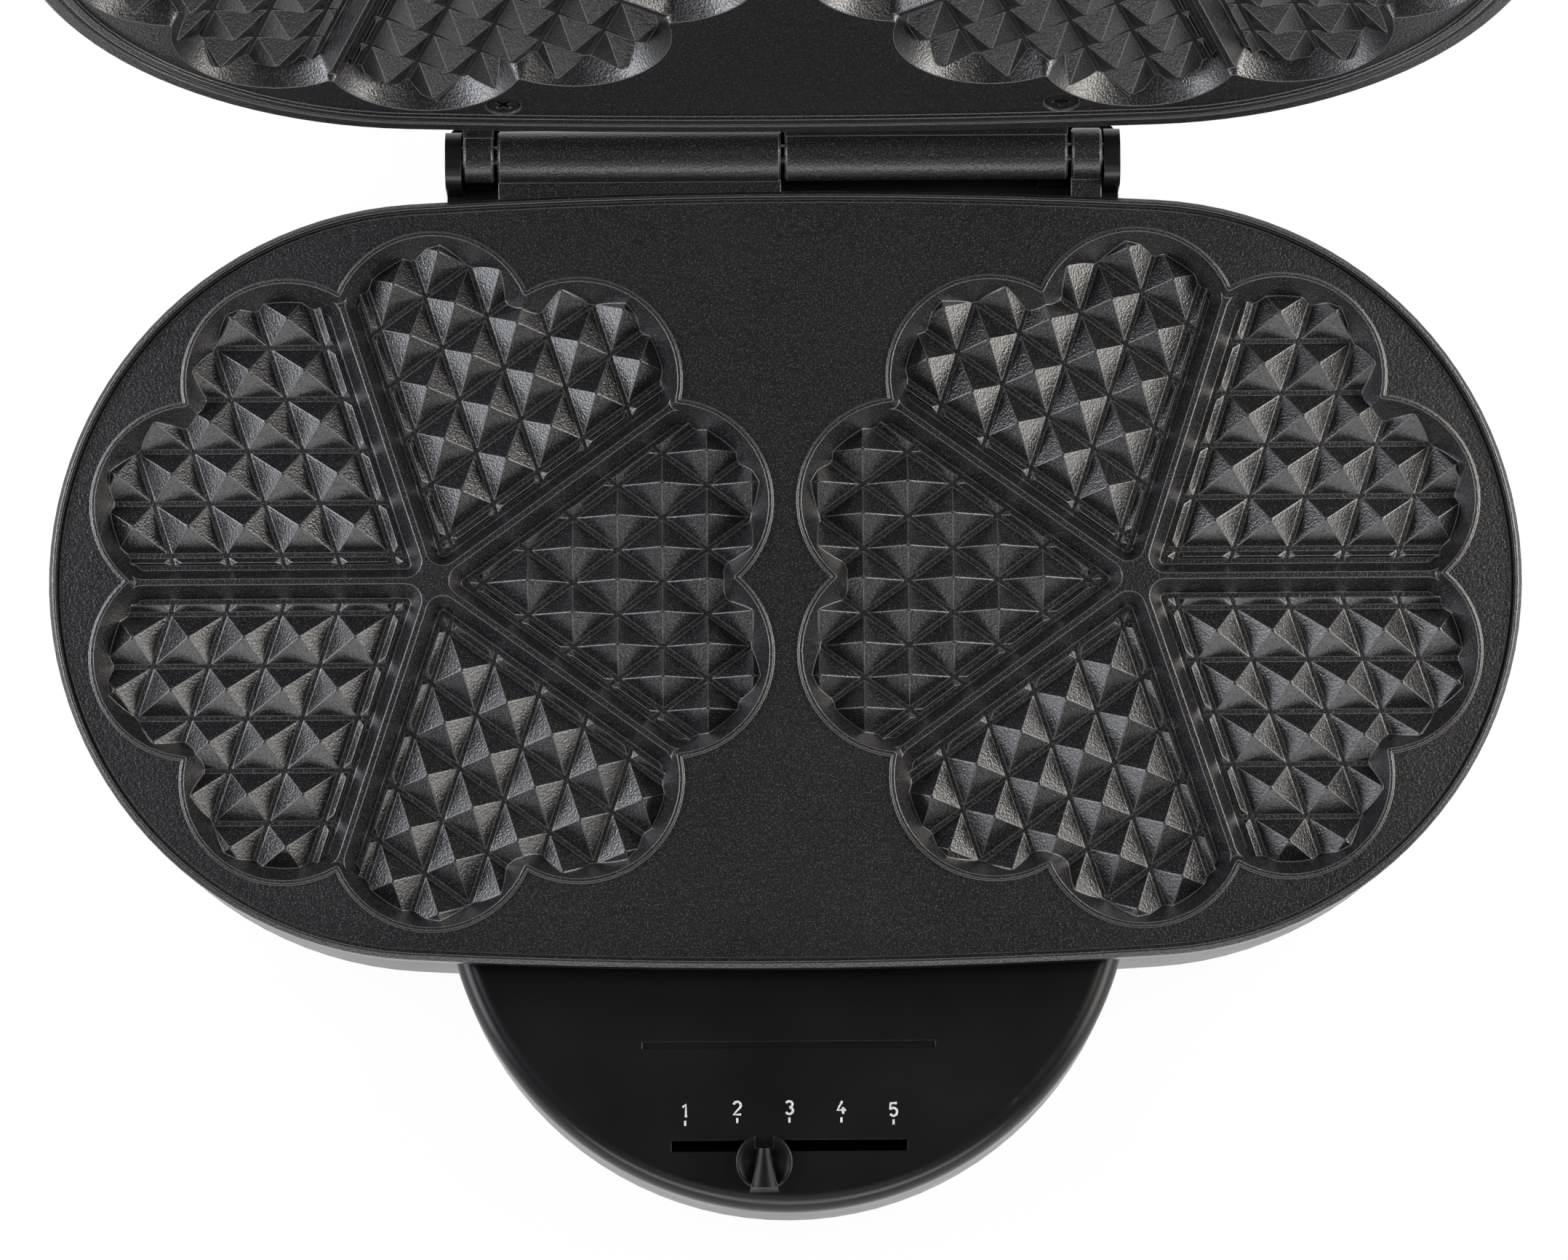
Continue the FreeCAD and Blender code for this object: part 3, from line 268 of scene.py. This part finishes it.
# Drawn, rolled or plated metal: its own tint in the highlights, fine marks drawn out along the
# length of the tube or sheet, and a gloss that wanders where it was handled.
@dataclass(frozen=True)
class Metal(Finish):
    """Bare or plated metal."""

    colour: str = "b9b7b4"
    shade: str = "a4a29f"
    mark_mm: float = 0.3
    mark_stretch: float = 40.0
    patch_mm: float = 18.0
    roughness: tuple = (0.24, 0.38)
    bump: float = 0.2
    bump_mm: float = 0.02

    def build(self) -> bpy.types.Material:
        """Make the material.

        Returns:
            The material.
        """
        material, tree, place = self.start()
        drawn = add_node(tree, "ShaderNodeMapping", {}, {
            "Vector": place, "Scale": (1.0 / self.mark_stretch, 1.0, 1.0)}).outputs[0]
        marks = add_node(tree, "ShaderNodeTexNoise", {}, {
            "Vector": drawn, "Scale": per_mm(self.mark_mm)}).outputs[0]
        patch = add_node(tree, "ShaderNodeTexNoise", {}, {
            "Vector": place, "Scale": per_mm(self.patch_mm)}).outputs[0]
        colour = add_node(tree, "ShaderNodeMix", {"data_type": "RGBA"}, {
            0: marks, 6: linear(self.colour), 7: linear(self.shade)}).outputs[2]
        rough = add_node(tree, "ShaderNodeMapRange", {}, {
            "Value": patch, "From Min": NOISE_LOW, "From Max": NOISE_HIGH,
            "To Min": self.roughness[0], "To Max": self.roughness[1]}).outputs[0]
        relief = add_node(tree, "ShaderNodeBump", {}, {
            "Strength": self.bump, "Distance": self.bump_mm * MM, "Height": marks}).outputs[0]
        self.reach(tree, {"Metallic": 1.0}, {"Base Color": colour, "Roughness": rough, "Normal": relief})
        return material


# Pad-printed ink: a thin pale film, nearly even and matt, a little greyer where it has worn.
@dataclass(frozen=True)
class Ink(Finish):
    """Pad-printed ink."""

    colour: str = "c9c9c9"
    worn: str = "a4a4a4"
    wear_mm: float = 0.5
    wear_from: float = 0.45
    roughness: float = 0.6

    def build(self) -> bpy.types.Material:
        """Make the material.

        Returns:
            The material.
        """
        material, tree, place = self.start()
        film = add_node(tree, "ShaderNodeTexNoise", {}, {
            "Vector": place, "Scale": per_mm(self.wear_mm)}).outputs[0]
        wear = add_node(tree, "ShaderNodeMapRange", {}, {
            "Value": film, "From Min": self.wear_from, "From Max": NOISE_HIGH}).outputs[0]
        colour = add_node(tree, "ShaderNodeMix", {"data_type": "RGBA"}, {
            0: wear, 6: linear(self.colour), 7: linear(self.worn)}).outputs[2]
        self.reach(tree, {"Roughness": self.roughness}, {"Base Color": colour})
        return material


FINISHES = {
    Slot.CASTING: CoatedCasting("nonstick_coat_on_cast_aluminium"),
    # Steel sheath annealed in air: a brown-grey oxide with little shine.
    Slot.HEATER: Metal("annealed_steel_sheath", "6f675e", "4d4742", roughness=(0.4, 0.55)),
    # Bright zinc plate: cool pale grey with soft highlights.
    Slot.PLATED: Metal("zinc_plated_steel"),
    # Black oxide on screws and the hinge pin: near black with a low oily shine.
    Slot.BLACKENED: Moulded("black_oxide_steel", "101011", "1a1a1b", roughness=(0.3, 0.4)),
    # Rolled sheet with a dip of aluminium: pale, slightly frosted.
    Slot.SHIELD: Metal("aluminised_rolled_sheet", "c6c6c4", "b2b2b0"),
    # Stove paint sprayed on drawn steel: satin black with a faint orange peel.
    Slot.SHELL: Moulded("stove_painted_drawn_steel", "121213", "171718", 0.5, roughness=(0.3, 0.38)),
    # Black moulded plastic with a spark-eroded grain: deep black, soft grey highlights.
    Slot.PLASTIC: Moulded("spark_grained_black_plastic"),
    # Moulded rubber: dull charcoal that hardly shines.
    Slot.RUBBER: Moulded("moulded_black_rubber", "161616", "1c1c1c", roughness=(0.65, 0.8)),
    # Natural nylon: milky ivory with a waxy sheen.
    Slot.NYLON: Moulded("moulded_natural_nylon", "e6e3d8", "d9d5c6", roughness=(0.4, 0.5)),
    # Moulded phenolic resin: brown and glossy.
    Slot.RESIN: Moulded("moulded_phenolic_resin", "6b5a45", "5c4c3a", roughness=(0.3, 0.4)),
    # Drawn copper tube: warm, with lengthwise marks.
    Slot.COPPER: Metal("drawn_copper_tube", "c98462", "b06f50"),
    # Braided glass-fibre sleeve: cream, coarse and quite matt.
    Slot.SLEEVE: Moulded(
        "braided_glass_fibre_sleeve", "d8d2c0", "c4bda8", 0.6, roughness=(0.7, 0.85), bump=0.6),
}


class Workshop:
    """Makes the materials once and puts them on the CAD nodes by their record slots."""

    def __init__(self, frame: dict) -> None:
        """Make the materials.
        """
        self.nodes = frame["nodes"]
        self.slots = {row["node"]: row["material_slot"] for row in frame["record"]["subparts"]}
        self.materials = {slot.value: finish.build() for slot, finish in FINISHES.items()}

    def coat(self, node: str) -> None:
        """Put a node's material on its mesh.

        Args:
            node: the CAD node's name.
        """
        mesh = self.nodes[node].data
        mesh.materials.clear()
        mesh.materials.append(self.materials[self.slots[node]])
        log.info("%s: %s", node, mesh.materials[0].name)


@dataclass
class SubAssembly:
    """CAD nodes that belong together."""

    nodes: tuple

    def dress(self, shop: Workshop) -> None:
        """Give every node its finish.

        Args:
            shop: the workshop with the materials.
        """
        for node in self.nodes:
            shop.coat(node)


@dataclass
class CastPlates(SubAssembly):
    """The two mould plates and what screws them down."""

    nodes: tuple = ("lower_plate", "upper_plate", "plate_screws", "upper_plate_screws")


@dataclass
class Hinge(SubAssembly):
    """Housing behind the base and the pin through the knuckles."""

    nodes: tuple = ("hinge_housing", "hinge_pin")


@dataclass
class BaseShell(SubAssembly):
    """Wall, bottom pan, feet and cord inlet."""

    nodes: tuple = ("base_housing", "base_pan", "rubber_feet", "pan_screws", "cord_gland")


@dataclass
class Lid(SubAssembly):
    """Painted shell with its handle."""

    nodes: tuple = ("lid_housing", "lid_handle", "handle_screws", "lid_spacers")


@dataclass
class HeatingGear(SubAssembly):
    """Heaters, shields, thermostat and wiring."""

    nodes: tuple = (
        "lower_heater", "upper_heater", "lower_heater_pins", "upper_heater_pins", "lower_heater_clamps",
        "upper_heater_clamps", "lower_heat_shield", "upper_heat_shield", "upper_shield_screws",
        "thermostat_body", "thermostat_screws", "thermostat_capillary", "thermal_fuse", "terminal_block",
        "base_leads")


def bow(centre: tuple, radius: tuple, start: float, end: float, count: int = 9) -> list:
    """Points along an elliptic arc.

    Args:
        centre: its middle.
        radius: its two half widths.
        start: first angle in degrees.
        end: last angle in degrees.
        count: how many points.

    Returns:
        The points, as pairs.
    """
    angles = [radians(start + (end - start) * i / (count - 1)) for i in range(count)]
    return [(centre[0] + radius[0] * cos(a), centre[1] + radius[1] * sin(a)) for a in angles]


@dataclass
class ControlPanel(SubAssembly):
    """Front cover with the browning slider, its gear and the printed scale."""

    nodes: tuple = ("control_panel", "slider_knob", "slider_carriage", "thermostat_pinion")
    body: str = "base"
    pitch: float = 12.05 * MM
    count: int = 5
    figure_height: float = 2.95 * MM
    stroke: float = 0.56 * MM
    relief: float = 0.04 * MM
    mark_length: float = 1.7 * MM
    mark_width: float = 0.5 * MM
    mark_distance: float = 125.5 * MM
    figure_gap: float = 0.55 * MM
    end_drop: float = 0.6 * MM
    drop_power: int = 4
    pen_rounds: int = 3

    def strokes(self, figure: int) -> list:
        """Pen strokes of one figure, one unit high.

        Args:
            figure: 1 to 5.

        Returns:
            Lists of points.
        """
        if figure == 1:
            return [[(-0.2, 0.78), (0.06, 1.0), (0.06, 0.0)]]
        if figure == 2:
            return [bow((0.0, 0.72), (0.29, 0.28), 165, -35) + [(-0.28, 0.0), (0.3, 0.0)]]
        if figure == 3:
            return [bow((0.0, 0.76), (0.26, 0.24), 155, -90), bow((0.0, 0.26), (0.29, 0.26), 90, -155)]
        if figure == 4:
            return [[(0.08, 1.0), (-0.32, 0.3), (0.36, 0.3)], [(0.14, 0.52), (0.14, 0.0)]]
        return [[(0.28, 1.0), (-0.22, 1.0), (-0.26, 0.56)] + bow((0.0, 0.32), (0.29, 0.32), 130, -150)]

    def ribbon(self, name: str, lines: list, width: float, place: Vector, ink: bpy.types.Material) -> None:
        """Lay flat strokes on the panel as one mesh.

        Args:
            name: the piece's name.
            lines: lists of points, in metres from place.
            width: width of the pen.
            place: where the strokes' origin lies.
            ink: the printed material.
        """
        curve = bpy.data.curves.new(name, "CURVE")
        curve.dimensions = "3D"
        curve.bevel_depth = width / 2
        curve.bevel_resolution = self.pen_rounds
        curve.use_fill_caps = True
        for points in lines:
            spline = curve.splines.new("POLY")
            spline.points.add(len(points) - 1)
            for point, (x, y) in zip(spline.points, points):
                point.co = (x, y, 0.0, 1.0)
        pen = bpy.data.objects.new(name + "_pen", curve)
        bpy.context.scene.collection.objects.link(pen)
        bpy.context.view_layer.update()
        mesh = bpy.data.meshes.new_from_object(pen.evaluated_get(bpy.context.evaluated_depsgraph_get()))
        mesh.name = name
        bpy.data.objects.remove(pen)
        mesh.transform(Matrix.Diagonal((1.0, 1.0, 2 * self.relief / width, 1.0)))
        mesh.transform(Matrix.Translation(place))
        mesh.materials.clear()
        mesh.materials.append(ink)
        piece = bpy.data.objects.new(name, mesh)
        bpy.context.scene.collection.objects.link(piece)
        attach(piece, self.body)
        log.info("%s: %s", name, ink.name)

    def print_scale(self, middle: Vector) -> None:
        """Print the figures and marks above the slot.

        Args:
            middle: middle of the lower plate, on its flat field.
        """
        ink = Ink("pad_printed_ink").build()
        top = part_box("control_panel")[1].z
        outermost = (self.count - 1) / 2
        for figure in range(1, self.count + 1):
            aside = figure - 1 - outermost
            drop = self.end_drop * (aside / outermost) ** self.drop_power
            place = Vector((aside * self.pitch, middle.y - self.mark_distance - drop, top))
            half = (self.mark_length - self.mark_width) / 2
            self.ribbon(f"scale_mark_{figure}", [[(0.0, -half), (0.0, half)]], self.mark_width, place, ink)
            place.y += self.mark_length / 2 + self.figure_gap
            lines = [[(x * self.figure_height, y * self.figure_height) for x, y in points]
                     for points in self.strokes(figure)]
            self.ribbon(f"scale_figure_{figure}", lines, self.stroke, place, ink)


@dataclass
class PhotoCamera:
    """The camera that took the photograph, solved from the plate's outline and the mould's notches."""

    place: tuple = (-4.97 * MM, -257.18 * MM, 1659.02 * MM)
    turn: tuple = (-0.14648, 0.00269, 0.00666)
    lens: float = 165.79
    sensor: float = 36.0
    clip_start: float = 10.0 * MM

    def build(self, middle: Vector) -> None:
        """Make it the scene's camera.

        Args:
            middle: middle of the lower plate, from which its place is measured.
        """
        data = bpy.data.cameras.new("photo_camera")
        data.lens = self.lens
        data.sensor_width = self.sensor
        data.sensor_fit = "HORIZONTAL"
        data.clip_start = self.clip_start
        camera = bpy.data.objects.new("photo_camera", data)
        bpy.context.scene.collection.objects.link(camera)
        world_to_camera = Euler(self.turn, "XYZ").to_matrix()
        camera.matrix_world = (Matrix.Translation(middle + Vector(self.place))
                               @ world_to_camera.transposed().to_4x4())
        bpy.context.scene.camera = camera


@dataclass
class Softbox:
    """One soft studio light that looks at the part."""

    name: str
    place: tuple
    size: tuple
    power: float
    colour: str = "ffffff"
    target: tuple = (0.0, 0.0, 0.05)

    def build(self) -> None:
        """Add the light."""
        data = bpy.data.lights.new(self.name, "AREA")
        data.shape = "RECTANGLE"
        data.size, data.size_y = self.size
        data.energy = self.power
        data.color = linear(self.colour)[:3]
        light = bpy.data.objects.new(self.name, data)
        bpy.context.scene.collection.objects.link(light)
        light.location = self.place
        light.rotation_euler = (Vector(self.target) - Vector(self.place)).to_track_quat("-Z", "Y").to_euler()
        light.visible_camera = False


@dataclass
class Studio:
    """Pale floor, even surroundings and softboxes."""

    floor_half: float = 3.0
    floor_drop: float = 0.2 * MM
    floor_colour: str = "f4f4f4"
    floor_roughness: float = 0.9
    white_share: float = 0.96
    ambient: float = 0.06
    lights: tuple = (
        Softbox("left_softbox", (-0.85, -0.05, 0.3), (0.8, 0.4), 5.0, "f6f8ff"),
        Softbox("right_softbox", (0.85, -0.05, 0.3), (0.8, 0.4), 5.4, "fffaf4"),
        Softbox("front_softbox", (0.0, -1.0, 0.34), (1.6, 0.26), 6.2),
        Softbox("front_overhead", (0.0, -1.1, 1.2), (1.2, 0.5), 1.6),
        Softbox("left_overhead", (-0.95, 0.1, 1.4), (0.5, 0.5), 4.6, "f6f8ff"),
        Softbox("right_overhead", (0.95, 0.1, 1.4), (0.5, 0.5), 5.0, "fffaf4"),
        Softbox("left_strip", (-0.38, 0.1, 0.24), (0.3, 0.1), 1.6, "f6f8ff", (-0.12, 0.0, 0.05)),
        Softbox("right_strip", (0.38, 0.1, 0.24), (0.3, 0.1), 1.9, "fffaf4", (0.12, 0.0, 0.05)),
    )

    def floor(self) -> None:
        """Lay the floor: white to the camera and to reflections, with its shadow kept in part."""
        half = self.floor_half
        level = -self.floor_drop
        corners = [(-half, -half, level), (half, -half, level), (half, half, level), (-half, half, level)]
        mesh = bpy.data.meshes.new("studio_floor")
        mesh.from_pydata(corners, [], [(0, 1, 2, 3)])
        material = bpy.data.materials.new("studio_floor")
        material.use_nodes = True
        tree = material.node_tree
        shader = tree.nodes["Principled BSDF"]
        shader.inputs["Base Color"].default_value = linear(self.floor_colour)
        shader.inputs["Roughness"].default_value = self.floor_roughness
        path = add_node(tree, "ShaderNodeLightPath", {}, {}).outputs
        bounced = add_node(tree, "ShaderNodeMath", {"operation": "MAXIMUM"}, {
            0: path["Is Glossy Ray"], 1: path["Is Transmission Ray"]}).outputs[0]
        seen = add_node(tree, "ShaderNodeMath", {"operation": "MAXIMUM"}, {
            0: path["Is Camera Ray"], 1: bounced}).outputs[0]
        share = add_node(tree, "ShaderNodeMath", {"operation": "MULTIPLY"}, {
            0: seen, 1: self.white_share}).outputs[0]
        white = add_node(tree, "ShaderNodeEmission", {}, {"Strength": 1.0}).outputs[0]
        blend = add_node(tree, "ShaderNodeMixShader", {}, {
            0: share, 1: shader.outputs[0], 2: white}).outputs[0]
        tree.links.new(blend, tree.nodes["Material Output"].inputs["Surface"])
        mesh.materials.append(material)
        floor = bpy.data.objects.new("studio_floor", mesh)
        bpy.context.scene.collection.objects.link(floor)

    def build(self) -> None:
        """Set up the floor, the surroundings and the lights."""
        self.floor()
        world = bpy.data.worlds.new("studio_world")
        world.use_nodes = True
        world.node_tree.nodes["Background"].inputs["Color"].default_value = (1.0, 1.0, 1.0, 1.0)
        world.node_tree.nodes["Background"].inputs["Strength"].default_value = self.ambient
        scene = bpy.context.scene
        scene.world = world
        scene.view_settings.view_transform = "Standard"
        for light in self.lights:
            light.build()


def plate_middle(field_level: float = 47.0 * MM) -> Vector:
    """Middle of the lower plate on its flat field, found from the shield that lies under it.

    Args:
        field_level: height of the field above the table.

    Returns:
        The point, in metres.
    """
    low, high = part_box("lower_heat_shield")
    return Vector(((low.x + high.x) / 2, (low.y + high.y) / 2, field_level))


def main() -> None:
    """Build the looks in order."""
    logging.basicConfig(level=logging.INFO, format="%(name)s: %(message)s")
    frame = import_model()
    middle = plate_middle()
    shop = Workshop(frame)
    panel = ControlPanel()
    for part in (CastPlates(), Hinge(), BaseShell(), Lid(), HeatingGear(), panel):
        part.dress(shop)
    panel.print_scale(middle)
    Studio().build()
    PhotoCamera().build(middle)
    log.info("scene is ready")


if __name__ == "__main__":
    main()
